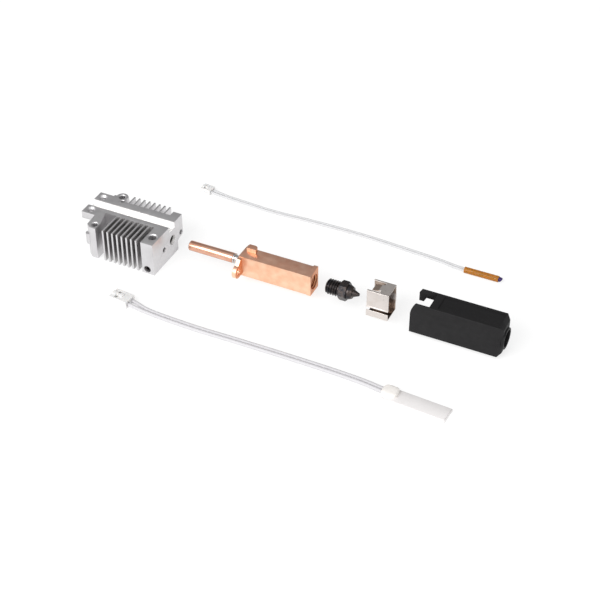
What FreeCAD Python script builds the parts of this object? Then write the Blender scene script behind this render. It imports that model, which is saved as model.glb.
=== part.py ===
"""Hotend assembly of a desktop 3-D printer, laid out in line before it is put together.

The filament path is one straight line along X: heatsink, throat tube, heater block, nozzle,
spring clip and silicone sock follow each other from -X to +X, each on that line.  The plate
heater lies in front of them (-Y) and the temperature sensor behind them (+Y), each with its
two leads and its connector on the surface that the heatsink stands on.

Units are millimetres, +Z is up, and the origin is on that surface at the layout's middle.
Sizes along the path are counted from the heatsink's hot end face, with y and z from the path.
"""
import FreeCAD, Part
import math
import os

V = FreeCAD.Vector

# ---- where the filament path lies in the frame
FACE_X = -50.15                 # the heatsink's hot end face
PATH_Y = 2.05
PATH_Z = 7.1                    # half the heatsink's height: it stands on its flat bottom

# ---- heatsink
SINK_FRONT, SINK_BACK = -14.9, 8.0
SINK_TOP = 7.1
SINK_LENGTH = 30.2
FOOT_BACK, FOOT_STEP_Z, FLARE_Z = 3.9, -2.9, -1.8
PILLAR_END = 5.2                # width of the pillar at the hot end
PILLAR_LEFT = 5.0               # width of the pillar at the cold end
FIN_COUNT = 8
FIN_THICK = 0.7
FRONT_FIN_X, FRONT_FIN_PITCH, FRONT_ROOT_Y = -21.95, 2.09, -4.1
POCKET_BEND_Y, POCKET_ROOT_X = -11.0, -27.15    # the cold pillar's side slants back to its root
PILLAR_CORNER_Y, PILLAR_CORNER_X = -13.3, -27.75            # its chamfered front corner
PILLAR_SLANT = 0.5              # and its cold side leans in by this towards that corner
REAR_FIN_X, REAR_FIN_PITCH, REAR_ROOT_Y, REAR_TIP_Y = -22.2, 2.27, 5.5, 10.1
REAR_FIN_CHAMFER, REAR_GAP_END = 1.5, -3.7
GROOVE_WIDTH, GROOVE_DEPTH = 4.0, 2.2
EAR_LENGTH, EAR_FRONT, EAR_BACK, EAR_THICK = 6.0, -7.1, 7.2, 3.1
EAR_HOLE_X, EAR_HOLE_Y, EAR_HOLE_R = -33.5, 4.45, 1.1
SIDE_LUG = (-29.3, -13.3, -1.5)
SIDE_LUG_R, SIDE_LUG_HEIGHT = 1.3, 4.6
BORE_R = 2.06                   # takes the 4 mm throat tube and, at the cold end, 4 mm tubing
BORE_DEPTH = 19.6
INLET_DEPTH = 7.0
PILLAR_HOLE = (-2.75, -9.95)
PILLAR_HOLE_R = 1.6
TAPPED_HOLE = (-27.0, -12.4)
TAPPED_HOLE_R = 1.25
LUG_SCREW_Y, LUG_SCREW_Z = 6.5, -0.5
LUG_TAP_R, LUG_TAP_FRONT, LUG_TAP_BACK = 1.05, 4.0, 3.0
GRUB_X, GRUB_Z = -2.95, -5.0
GRUB_R, GRUB_LENGTH = 1.45, 2.6
GRUB_SUNK, GRUB_KEY, GRUB_KEY_DEPTH = 0.5, 0.75, 1.3
BOSS_X, BOSS_Y, BOSS_R, BOSS_HOLE_R = -26.9, 8.1, 2.4, 1.25
SMALL_HOLE, SMALL_HOLE_R, SMALL_HOLE_DEPTH = (-25.2, 5.6), 0.7, 3.0

# ---- throat: copper tube, thin steel heat break and the copper block behind them
TUBE_START, TUBE_R, TUBE_LENGTH, TUBE_CHAMFER = 7.9, 2.0, 19.0, 0.25
MELT_R = 1.0                    # radius of the filament's passage
NECK_R, NECK_GAP = 1.45, 3.7
NECK_GRIP = 4.0                 # how far the neck reaches into the tube and the block
COLLAR_R, COLLAR_THICK = 1.95, 0.6
FIT = 0.02                      # play between the neck and what it sits in, and under the pins
BLOCK_START = TUBE_START + TUBE_LENGTH + NECK_GAP
BLOCK_LENGTH = 30.1
BLOCK_HALF_Y, BLOCK_HALF_Z = 3.3, 4.4
RIM_LENGTH, RIM_HALF_Y, RIM_BOTTOM, RIM_TOP = 1.7, 3.4, -4.5, 4.9
RIM_SLOPE = (-2.4, 1.8)         # the rim's top rises between these
FLANGE_THICK = 1.6
LUG_R, LUG_HOLE_R = 2.6, 1.3
WEB_Y, WEB_TOP = 4.9, 4.1       # the flange beside the block, above its screw lugs
HOOK_START, HOOK_LENGTH, HOOK_RISE, HOOK_FRONT, HOOK_ROUND = 1.5, 3.8, 1.7, 0.7, 1.4
THREAD_DEPTH = 7.4
THREAD_BORE_R = 3.04

# ---- nozzle, M6, from its inner end to its tip
NOZZLE_START = 66.1
THREAD_R, THREAD_ROOT_R, THREAD_PITCH, THREAD_TURNS = 3.0, 2.55, 1.0, 5
THREAD_LEAD_IN, THREAD_FLANK, THREAD_CREST = 0.1, 0.4, 0.1
NECK_LENGTH = 5.5
HEX_FLATS, HEX_THICK, HEX_CHAMFER, HEX_FACE_MARGIN = 6.7, 3.0, 0.35, 0.1
SHOULDER_R, SHOULDER_LENGTH, SHOULDER_END_R, SHOULDER_END = 2.8, 0.8, 2.2, 2.0
CONE_R, TIP_R, TIP_LENGTH = 1.55, 0.5, 4.5
TIP_HOLE_R, TIP_HOLE_LENGTH, TIP_FUNNEL = 0.2, 0.6, 2.2

# ---- spring clip: one folded strip around block and heater plate
CLIP_START, CLIP_LENGTH = 83.5, 8.7
SHEET = 0.3
CLIP_HALF_Y, CLIP_BOTTOM, CLIP_TOP = 3.46, -4.6, 6.2
CLIP_FLARE, CLIP_SPLIT_HIGH, CLIP_SPLIT_LOW = -0.4, -0.9, -2.1
CLIP_STEP = 0.35                # the lower flap and the upper one's edge stand out by this
BULGE_TOP, BULGE, BULGE_LOW = 3.6, 1.0, -1.6
CLIP_WINDOW, CLIP_RAIL = 4.9, 0.5           # the top is open over this length, between two rails
TONGUE_LENGTH, TONGUE_WIDTH, TONGUE_DROP = 3.6, 3.8, 0.7

# ---- silicone sock
SOCK_START, SOCK_LENGTH = 101.0, 35.5
SOCK_HALF_Y, SOCK_BOTTOM, SOCK_TOP = 4.85, -5.9, 7.5
SOCK_IN_Y, SOCK_IN_BOTTOM, SOCK_IN_TOP = 4.2, -5.1, 6.65
SOCK_END_WALL, SOCK_HOLE_R, SOCK_CHAMFER, SOCK_ROUND = 1.0, 3.3, 1.5, 0.3
SOCK_OPEN_TOP = 7.0             # the top is open over this length at the cold end
RING_R, RING_LENGTH = 4.1, 0.5  # raised ring around the end's hole
PANEL_START, PANEL_END, PANEL_EDGE, PANEL_DEPTH = 10.0, 33.3, 1.2, 0.35     # sunk panel on top
FRONT_CORNER = (1.9, 4.8)       # the front wall's curved cold corner: length, height
REAR_CORNER = (1.0, 1.6)        # the back wall's chamfered cold corner
HOOK_END, HOOK_BEND, WINDOW_END = 1.8, 2.8, 5.7                 # along the back wall
WINDOW_LOW, HOOK_LOW, WINDOW_HIGH = -0.4, 2.2, 4.1

# ---- plate heater, in the frame's own x and y
PLATE_CENTRE, PLATE_TURN = (67.8, -37.05), -3.2
PLATE_LENGTH, PLATE_WIDTH, PLATE_THICK = 24.1, 6.85, 0.9
COVER_LENGTH, COVER_THICK = 20.5, 0.3
COVER_MARGIN, COVER_INSET = 0.3, 0.2
TRACE_WIDTH, TRACE_THICK, TRACE_ROWS, TRACE_PITCH, TRACE_MARGIN = 0.6, 0.1, 4, 1.6, 1.0
PIN_R, PIN_LENGTH, PIN_GAP = 0.25, 2.6, 0.3
CEMENT_START, CEMENT_LENGTH, CEMENT_WIDTH, CEMENT_HEIGHT, CEMENT_ROUND = 54.5, 6.1, 5.6, 2.7, 1.2
CEMENT_OFFSET = 0.5             # it lies nearer to the plate's back edge
HEATER_LEAD_R, HEATER_LEAD_GAP = 0.725, 1.5
NOSE_SHARE, LATCH_SHARE = 0.66, 0.22         # shares of a connector housing's length
CAVITY_SHARE = 0.6                           # of the pitch
HOUSING_ROUND, ENTRY_PLAY, ENTRY_OVERLAP = 0.25, 0.12, 0.2
KEY_LENGTH_SHARE, KEY_WIDTH_SHARE, KEY_HEIGHT = 0.6, 0.3, 0.35
CONTACT_PLAY, CONTACT_WALL, CONTACT_SUNK = 0.1, 0.15, 0.4
CONTACT_BACK, CONTACT_GAP = 0.6, 0.05
HEATER_PITCH = 2.5
HEATER_HOUSING = (7.8, 5.7, 3.1)            # length, width, height

# ---- temperature sensor, in the frame's own x and y
SLEEVE_START, SLEEVE_END, SLEEVE_Y = 56.3, 70.1, 40.5
SLEEVE_R, SLEEVE_WALL = 1.25, 0.2
SPLICE_R, SPLICE_START, SPLICE_LENGTH = 0.46, 60.0, 3.3
BEAD_R, BEAD_START, BEAD_LENGTH, BEAD_ROUND = 0.85, 68.9, 3.0, 0.4
LEG_R, LEG_GAP = 0.2, 0.8
SENSOR_LEAD_R, SENSOR_LEAD_GAP = 0.5, 1.05
SENSOR_PITCH = 1.5
SENSOR_HOUSING = (4.6, 4.0, 2.3)

# Each pair of leads follows one route, from inside its connector to its other end.  The leads
# lie on the surface and rise at their ends to the middle of the connector and of the piece.
HEATER_LIE, SENSOR_LIE = HEATER_LEAD_R + 0.02, SENSOR_LEAD_R + 0.02
HEATER_ROUTE = [V(-51.8, -32.1, 1.45), V(-47.6, -32.55, 1.35), V(-42.6, -33.35, HEATER_LIE),
                V(-36.5, -33.9, HEATER_LIE), V(-29.5, -34.2, HEATER_LIE), V(-19, -34.5, HEATER_LIE),
                V(-9.5, -34.25, HEATER_LIE), V(0.5, -34.1, HEATER_LIE), V(10.5, -34, HEATER_LIE),
                V(20.5, -34, HEATER_LIE), V(30.5, -34.05, HEATER_LIE), V(40, -34.25, HEATER_LIE),
                V(47.5, -34.8, 0.9), V(51.8, -35.6, 1.1), V(55.4, -36.1, 1.15)]
SENSOR_ROUTE = [V(-57.85, 45.6, 1.1), V(-54.2, 45.2, 1), V(-49.3, 44.95, 0.65),
                V(-44, 44.75, SENSOR_LIE), V(-38.4, 44.45, SENSOR_LIE), V(-32.7, 44.05, SENSOR_LIE),
                V(-27.1, 43.9, SENSOR_LIE), V(-21.8, 44, SENSOR_LIE), V(-15.5, 44.5, SENSOR_LIE),
                V(-7, 44.7, SENSOR_LIE), V(3.5, 44.9, SENSOR_LIE), V(13, 44.8, SENSOR_LIE),
                V(20.5, 44.35, SENSOR_LIE), V(30.5, 43.7, SENSOR_LIE), V(40.5, 43.05, SENSOR_LIE),
                V(47, 42.3, 0.65), V(53.4, 40.5, 1.25), V(59.9, 40.5, 1.25)]


def path(x, y=0.0, z=0.0):
    """A point given along the filament path, in the frame."""
    return V(FACE_X + x, PATH_Y + y, PATH_Z + z)


def block(x0, x1, y0, y1, z0, z1):
    """A cuboid between two corners, given along the filament path."""
    return Part.makeBox(x1 - x0, y1 - y0, z1 - z0, path(x0, y0, z0))


def rod(x, y, z, radius, length, way):
    """A cylinder from a point of the filament path's coordinates."""
    return Part.makeCylinder(radius, length, path(x, y, z), way)


def plan_prism(corners, z0, z1):
    """A prism on an outline given in x and y."""
    outline = [path(x, y, z0) for x, y in corners]
    return Part.Face(Part.makePolygon(outline + outline[:1])).extrude(V(0, 0, z1 - z0))


def section_prism(corners, x0, x1):
    """A prism along the path on an outline given in y and z."""
    outline = [path(x0, y, z) for y, z in corners]
    return Part.Face(Part.makePolygon(outline + outline[:1])).extrude(V(x1 - x0, 0, 0))


def side_prism(corners, y0, y1):
    """A prism across the path on an outline given in x and z."""
    outline = [path(x, y0, z) for x, z in corners]
    return Part.Face(Part.makePolygon(outline + outline[:1])).extrude(V(0, y1 - y0, 0))


def turned(profile):
    """A solid of revolution about the path from x and radius pairs."""
    outline = [path(x, r) for x, r in profile]
    return Part.Face(Part.makePolygon(outline + outline[:1])).revolve(path(0), ALONG, 360)


ALONG, ACROSS, UP = V(1, 0, 0), V(0, 1, 0), V(0, 0, 1)
CLEAR = 1.0                     # how far a cut runs past the surface that it opens


# ---------------------------------------------------------------- heatsink
def fin_gap(x0, x1, root_y):
    """The milled slot between two front fins, round at its root."""
    radius = (x1 - x0) / 2
    low, high = -SINK_TOP - CLEAR, SINK_TOP + CLEAR
    slot = block(x0, x1, SINK_FRONT - CLEAR, root_y - radius, low, high)
    return slot.fuse(rod((x0 + x1) / 2, root_y - radius, low, radius, high - low, UP))


def front_fin_cuts():
    """Slots between the front fins, and the pocket that widens behind the cold pillar."""
    half = FIN_THICK / 2
    centres = [FRONT_FIN_X + FRONT_FIN_PITCH * i for i in range(FIN_COUNT)]
    cuts = [fin_gap(a + half, b - half, FRONT_ROOT_Y) for a, b in zip(centres, centres[1:])]
    cuts.append(fin_gap(centres[-1] + half, -PILLAR_END, FRONT_ROOT_Y))
    left, right, front = -SINK_LENGTH + PILLAR_LEFT, centres[0] - half, SINK_FRONT - CLEAR
    pocket = [(left, front), (left, POCKET_BEND_Y), (POCKET_ROOT_X, FRONT_ROOT_Y),
              (right, FRONT_ROOT_Y), (right, front)]
    cuts.append(plan_prism(pocket, -SINK_TOP - CLEAR, SINK_TOP + CLEAR))
    return cuts


def pillar_corner_cut():
    """What the cold pillar's side and front corner lose."""
    side, front = -SINK_LENGTH, SINK_FRONT
    outline = [(side, EAR_FRONT), (side + PILLAR_SLANT, PILLAR_CORNER_Y), (PILLAR_CORNER_X, front),
               (PILLAR_CORNER_X, front - CLEAR), (side - CLEAR, front - CLEAR),
               (side - CLEAR, EAR_FRONT)]
    return plan_prism(outline, -SINK_TOP - CLEAR, SINK_TOP + CLEAR)


def rear_fins():
    """Short fins on the back, each with a chamfered lower corner."""
    root, tip, low = REAR_ROOT_Y - 0.5, REAR_TIP_Y, FLARE_Z
    outline = [(root, low), (tip - REAR_FIN_CHAMFER, low), (tip, low + REAR_FIN_CHAMFER),
               (tip, SINK_TOP), (root, SINK_TOP)]
    starts = [REAR_FIN_X + REAR_FIN_PITCH * i - FIN_THICK / 2 for i in range(FIN_COUNT)]
    return [section_prism(outline, x, x + FIN_THICK) for x in starts]


def countersunk(x, y, radius, widening, depth):
    """A vertical hole from the top, its countersink as deep as it widens the hole."""
    hole = rod(x, y, SINK_TOP - depth, radius, depth + CLEAR, UP)
    sink = Part.makeCone(radius, radius + widening, widening, path(x, y, SINK_TOP - widening), UP)
    return hole.fuse(sink)


def sink_blank():
    """The heatsink before its slots and holes: body, boss, ears, side lug and rear fins."""
    section = [(SINK_FRONT, -SINK_TOP), (FOOT_BACK, -SINK_TOP), (FOOT_BACK, FOOT_STEP_Z),
               (SINK_BACK, FLARE_Z), (SINK_BACK, SINK_TOP), (SINK_FRONT, SINK_TOP)]
    boss_end = BOSS_X + BOSS_R
    body = section_prism(section, -SINK_LENGTH, 0).cut(
        block(boss_end, REAR_GAP_END, REAR_ROOT_Y, SINK_BACK + CLEAR, -SINK_TOP, SINK_TOP + CLEAR))
    boss = rod(BOSS_X, BOSS_Y, FLARE_Z, BOSS_R, SINK_TOP - FLARE_Z, UP)
    cheek = block(BOSS_X, boss_end, REAR_ROOT_Y, BOSS_Y + BOSS_R / 2, FLARE_Z, SINK_TOP)
    ears = block(-SINK_LENGTH - EAR_LENGTH, -SINK_LENGTH + CLEAR, EAR_FRONT, EAR_BACK,
                 SINK_TOP - EAR_THICK, SINK_TOP)
    lug = rod(*SIDE_LUG, SIDE_LUG_R, SIDE_LUG_HEIGHT, UP)
    return body.cut(pillar_corner_cut()).fuse([boss, cheek, ears, lug] + rear_fins())


def heatsink():
    """Milled aluminium body with fins, pillars, mounting ears and the throat's bore."""
    cold_end = -SINK_LENGTH - CLEAR
    groove = block(cold_end - EAR_LENGTH, CLEAR, -GROOVE_WIDTH / 2, GROOVE_WIDTH / 2,
                   SINK_TOP - GROOVE_DEPTH, SINK_TOP + CLEAR)
    bores = [rod(-BORE_DEPTH, 0, 0, BORE_R, BORE_DEPTH + CLEAR, ALONG),
             rod(cold_end, 0, 0, MELT_R, SINK_LENGTH, ALONG),
             rod(cold_end, 0, 0, BORE_R, INLET_DEPTH + CLEAR, ALONG)]
    through = 2 * SINK_TOP + CLEAR
    holes = [countersunk(EAR_HOLE_X, side * EAR_HOLE_Y, EAR_HOLE_R, 0.7, EAR_THICK + CLEAR)
             for side in (1, -1)]
    holes += [countersunk(*PILLAR_HOLE, PILLAR_HOLE_R, 0.4, through),
              countersunk(*TAPPED_HOLE, TAPPED_HOLE_R, 0.3, through),
              countersunk(BOSS_X, BOSS_Y, BOSS_HOLE_R, 0.25, SINK_TOP - FLARE_Z + CLEAR),
              countersunk(*SMALL_HOLE, SMALL_HOLE_R, 0.2, SMALL_HOLE_DEPTH)]
    taps = [rod(-depth, y, LUG_SCREW_Z, LUG_TAP_R, depth + CLEAR, ALONG)
            for y, depth in ((-LUG_SCREW_Y, LUG_TAP_FRONT), (LUG_SCREW_Y, LUG_TAP_BACK))]
    grub_hole = rod(GRUB_X, SINK_FRONT - CLEAR, GRUB_Z, GRUB_R,
                    PILLAR_HOLE[1] - SINK_FRONT + CLEAR, ACROSS)
    cuts = front_fin_cuts() + [groove, grub_hole] + bores + holes + taps
    return sink_blank().cut(cuts).removeSplitter()


def grub_screw():
    """Headless screw with a hexagon socket, in the pillar's front hole."""
    start = SINK_FRONT + GRUB_SUNK
    screw = rod(GRUB_X, start, GRUB_Z, GRUB_R - 0.02, GRUB_LENGTH, ACROSS)
    turns = [math.radians(60 * i) for i in range(6)]
    corners = [(GRUB_X + GRUB_KEY * math.cos(a), GRUB_Z + GRUB_KEY * math.sin(a)) for a in turns]
    return screw.cut(side_prism(corners, start - CLEAR, start + GRUB_KEY_DEPTH))


# ---------------------------------------------------------------- throat and block
def throat_tube():
    """Copper tube that slides into the heatsink's bore."""
    end = TUBE_START + TUBE_LENGTH
    tube = rod(TUBE_START, 0, 0, TUBE_R, TUBE_LENGTH, ALONG)
    passage = rod(TUBE_START - CLEAR, 0, 0, MELT_R, TUBE_LENGTH + 2 * CLEAR, ALONG)
    socket = rod(end - NECK_GRIP - FIT, 0, 0, NECK_R + FIT, NECK_GRIP + CLEAR, ALONG)
    rims = [edge for edge in tube.Edges if edge.Closed]
    return tube.makeChamfer(TUBE_CHAMFER, rims).cut([passage, socket])


def heat_break():
    """Thin steel neck between the tube and the block, with a collar against each."""
    start, end = TUBE_START + TUBE_LENGTH, BLOCK_START
    length = 2 * NECK_GRIP + NECK_GAP
    neck = rod(start - NECK_GRIP, 0, 0, NECK_R, length, ALONG)
    collars = [rod(x, 0, 0, COLLAR_R, COLLAR_THICK, ALONG)
               for x in (start + FIT, end - COLLAR_THICK - FIT)]
    return neck.fuse(collars).cut(rod(start - NECK_GRIP, 0, 0, MELT_R, length, ALONG))


def flange_lug(side):
    """Screw lug beside the block, rounded at its end, on a web as high as the block."""
    end = BLOCK_START + FLANGE_THICK
    tab = rod(BLOCK_START, side * LUG_SCREW_Y, LUG_SCREW_Z, LUG_R, FLANGE_THICK, ALONG)
    root, low = side * (BLOCK_HALF_Y - 0.5), LUG_SCREW_Z - LUG_R
    web = section_prism([(root, low), (side * LUG_SCREW_Y, low),
                         (side * LUG_SCREW_Y, LUG_SCREW_Z + LUG_R), (side * WEB_Y, WEB_TOP),
                         (root, WEB_TOP)], BLOCK_START, end)
    hole = rod(BLOCK_START - CLEAR, side * LUG_SCREW_Y, LUG_SCREW_Z, LUG_HOLE_R,
               FLANGE_THICK + 2 * CLEAR, ALONG)
    return tab.fuse(web).cut(hole)


def block_hook(start):
    """Hook on the block's top, rounded at its hot rear corner."""
    hook = block(start, start + HOOK_LENGTH, HOOK_FRONT, BLOCK_HALF_Y,
                 BLOCK_HALF_Z - 0.5, BLOCK_HALF_Z + HOOK_RISE)
    corner = [edge for edge in hook.Edges if edge.BoundBox.ZLength > HOOK_RISE
              and edge.BoundBox.XMin > path(start + HOOK_LENGTH / 2).x
              and edge.BoundBox.YMin > path(0, (HOOK_FRONT + BLOCK_HALF_Y) / 2).y]
    return hook.makeFillet(HOOK_ROUND, corner)


def heater_block():
    """Long copper block with a screw flange, a hook on top and the nozzle's bore."""
    start, end = BLOCK_START, BLOCK_START + BLOCK_LENGTH
    body = block(start, end, -BLOCK_HALF_Y, BLOCK_HALF_Y, -BLOCK_HALF_Z, BLOCK_HALF_Z)
    rim = section_prism([(-RIM_HALF_Y, RIM_BOTTOM), (RIM_HALF_Y, RIM_BOTTOM), (RIM_HALF_Y, RIM_TOP),
                         (RIM_SLOPE[1], RIM_TOP), (RIM_SLOPE[0], BLOCK_HALF_Z),
                         (-RIM_HALF_Y, BLOCK_HALF_Z)], end - RIM_LENGTH, end)
    socket = rod(start - CLEAR, 0, 0, NECK_R + FIT, NECK_GRIP + FIT + CLEAR, ALONG)
    passage = rod(start, 0, 0, MELT_R, BLOCK_LENGTH, ALONG)
    seat = rod(end - THREAD_DEPTH, 0, 0, THREAD_BORE_R, THREAD_DEPTH + CLEAR, ALONG)
    whole = body.fuse([rim, block_hook(start + HOOK_START), flange_lug(-1), flange_lug(1)])
    return whole.cut([socket, passage, seat]).removeSplitter()


# ---------------------------------------------------------------- nozzle, clip, sock
def nozzle():
    """Hardened nozzle: thread as rings, plain neck, hexagon with a corner up, shoulder and cone."""
    start = NOZZLE_START
    hex_start = start + NECK_LENGTH
    hex_end = hex_start + HEX_THICK
    tip = hex_end + TIP_LENGTH
    outline = [(start, MELT_R), (start, THREAD_ROOT_R)]
    for turn in range(THREAD_TURNS):
        x = start + THREAD_LEAD_IN + THREAD_PITCH * turn
        crest_start, crest_end = x + THREAD_FLANK, x + THREAD_FLANK + THREAD_CREST
        outline += [(x, THREAD_ROOT_R), (crest_start, THREAD_R),
                    (crest_end, THREAD_R), (crest_end + THREAD_FLANK, THREAD_ROOT_R)]
    outline += [(hex_start, THREAD_ROOT_R), (hex_start, SHOULDER_R),
                (hex_end + SHOULDER_LENGTH, SHOULDER_R), (hex_end + SHOULDER_END, SHOULDER_END_R),
                (hex_end + SHOULDER_END, CONE_R), (tip, TIP_R), (tip, TIP_HOLE_R),
                (tip - TIP_HOLE_LENGTH, TIP_HOLE_R), (tip - TIP_FUNNEL, MELT_R)]
    across = HEX_FLATS / math.sqrt(3)
    turns = [math.radians(60 * i) for i in range(6)]
    hexagon = section_prism([(across * math.sin(a), across * math.cos(a)) for a in turns],
                            hex_start, hex_end)
    face_r = HEX_FLATS / 2 + HEX_FACE_MARGIN
    rounded = turned([(hex_start, 0), (hex_start, face_r), (hex_start + HEX_CHAMFER, across),
                      (hex_end - HEX_CHAMFER, across), (hex_end, face_r), (hex_end, 0)])
    middle = rod(hex_start, 0, 0, THREAD_ROOT_R, HEX_THICK, ALONG)
    return turned(outline).fuse(hexagon.common(rounded).cut(middle)).removeSplitter()


def spring_clip():
    """Folded steel strip: split front, bulged back, and a tongue in its half-open top."""
    y, low, high, t, out = CLIP_HALF_Y, CLIP_BOTTOM, CLIP_TOP, SHEET, CLIP_STEP
    end = CLIP_START + CLIP_LENGTH
    inside = [(-y - out, CLIP_SPLIT_HIGH), (-y, CLIP_FLARE), (-y, high), (y, high), (y, BULGE_TOP),
              (y + out, BULGE), (y, BULGE_LOW), (y, low), (-y - out, low), (-y - out, CLIP_SPLIT_LOW)]
    outside = [(-y - out - t, CLIP_SPLIT_LOW), (-y - out - t, low - t), (y + t, low - t),
               (y + t, BULGE_LOW), (y + out + t, BULGE), (y + t, BULGE_TOP), (y + t, high + t),
               (-y - t, high + t), (-y - t, CLIP_FLARE), (-y - out - t, CLIP_SPLIT_HIGH)]
    strip = section_prism(inside + outside, CLIP_START, end)
    rail_y, window_end = y - CLIP_RAIL, CLIP_START + CLIP_WINDOW
    window = block(CLIP_START - CLEAR, window_end, -rail_y, rail_y, high - CLEAR, high + CLEAR)
    tip, drop = window_end - TONGUE_LENGTH, high - TONGUE_DROP
    tongue = side_prism([(window_end + t, high), (window_end + t, high + t), (window_end - t, high + t),
                         (tip, drop + t), (tip, drop), (window_end - t, high)],
                        -TONGUE_WIDTH / 2, TONGUE_WIDTH / 2)
    return strip.cut(window).fuse(tongue).removeSplitter()


def sock_corner():
    """What the front wall's cold corner loses: everything outside a shallow curve."""
    length, height = FRONT_CORNER
    low = path(SOCK_START, -SOCK_HALF_Y - CLEAR, SOCK_TOP - height)
    high = low + V(length, 0, height)
    outer = low + V(0, 0, height)
    middle = (low + high) * 0.5 + (outer - high) * 0.15 + (outer - low) * 0.05
    edges = [Part.Arc(low, middle, high).toShape(), Part.LineSegment(high, outer).toShape(),
             Part.LineSegment(outer, low).toShape()]
    return Part.Face(Part.Wire(edges)).extrude(V(0, SOCK_HALF_Y - SOCK_IN_Y + CLEAR, 0))


def silicone_sock():
    """Soft cover: a box open at its cold end, with a hook and a window in its back wall."""
    x0, x1 = SOCK_START, SOCK_START + SOCK_LENGTH - RING_LENGTH
    y, low, high = SOCK_HALF_Y, SOCK_BOTTOM, SOCK_TOP
    shell = block(x0, x1, -y, y, low, high)
    end_edges = [edge for edge in shell.Edges if edge.BoundBox.XMin > path(x1 - SOCK_END_WALL).x]
    shell = shell.makeChamfer(SOCK_CHAMFER, end_edges)
    long_edges = [edge for edge in shell.Edges if edge.BoundBox.XLength > SOCK_LENGTH / 2]
    ring = rod(x1 - RING_LENGTH, 0, 0, RING_R, 2 * RING_LENGTH, ALONG)
    shell = shell.makeFillet(SOCK_ROUND, long_edges).fuse(ring)
    cavity = block(x0 - CLEAR, x1 - SOCK_END_WALL, -SOCK_IN_Y, SOCK_IN_Y, SOCK_IN_BOTTOM, SOCK_IN_TOP)
    hole = rod(x1 - 2 * SOCK_END_WALL, 0, 0, SOCK_HOLE_R, 4 * SOCK_END_WALL, ALONG)
    panel = block(x0 + PANEL_START, x0 + PANEL_END, -y + PANEL_EDGE, y - PANEL_EDGE,
                  high - PANEL_DEPTH, high + CLEAR)
    open_top = block(x0 - CLEAR, x0 + SOCK_OPEN_TOP, -SOCK_IN_Y, SOCK_IN_Y, 0, high + CLEAR)
    length, height = REAR_CORNER
    rear_corner = side_prism([(x0, high), (x0, high - height), (x0 + length, high)],
                             SOCK_IN_Y - FIT, y + CLEAR)
    window = side_prism([(x0, WINDOW_LOW), (x0, HOOK_LOW), (x0 + HOOK_END, HOOK_LOW),
                         (x0 + HOOK_BEND, WINDOW_HIGH), (x0 + WINDOW_END, WINDOW_HIGH),
                         (x0 + WINDOW_END, WINDOW_LOW)], SOCK_IN_Y - FIT, y + CLEAR)
    return shell.cut([cavity, hole, panel, open_top, sock_corner(), rear_corner, window])


# ---------------------------------------------------------------- leads and connectors
def beside(route, pitch, gap, side):
    """One lead's points: half the connector's pitch off the route, then half the pair's gap."""
    points = []
    for i, here in enumerate(route):
        before, after = route[max(i - 1, 0)], route[min(i + 1, len(route) - 1)]
        way = (after - before).normalize()
        off = side * (pitch if i < 2 else gap) / 2
        points.append(here + V(-way.y, way.x, 0).normalize() * off)
    return points


def lead(points, radius, name):
    """A lead along straight runs joined by tangent arcs."""
    radii, edges, last = [], [], points[0]
    for before, here, after in zip(points, points[1:], points[2:]):
        a, b = before - here, after - here
        half_turn = (math.pi - a.getAngle(b)) / 2
        reach = 0.45 * min(a.Length, b.Length)
        radii.append(reach / math.tan(half_turn))
        first, second = here + a.normalize() * reach, here + b.normalize() * reach
        middle = here + (a + b).normalize() * (radii[-1] / math.cos(half_turn) - radii[-1])
        edges += [Part.LineSegment(last, first).toShape(), Part.Arc(first, middle, second).toShape()]
        last = second
    edges.append(Part.LineSegment(last, points[-1]).toShape())
    wire = Part.Wire(edges)
    section = Part.Wire(Part.makeCircle(radius, points[0], points[1] - points[0]))
    tube = wire.makePipeShell([section], True, False)
    exact = math.pi * radius ** 2 * wire.Length
    print(f"{name}: length {wire.Length:.2f}, least radius {min(radii):.1f}, "
          f"volume over section x length {tube.Volume / exact:.4f}")
    return tube


def beside_pair(route, pitch, gap, radius, name):
    """Both leads of a pair, by node name."""
    return {f"{name}_{letter}": lead(beside(route, pitch, gap, side), radius, f"{name}_{letter}")
            for letter, side in (("a", 1), ("b", -1))}


def at_plug(shapes, route):
    """Shapes modelled along +X from the origin, set at the route's start and along its first run."""
    way = route[1] - route[0]
    moved = []
    for shape in shapes:
        copy = shape.copy()
        copy.rotate(V(0, 0, 0), UP, math.degrees(math.atan2(way.y, way.x)))
        copy.translate(V(route[0].x, route[0].y, 0))
        moved.append(copy)
    return moved


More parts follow.
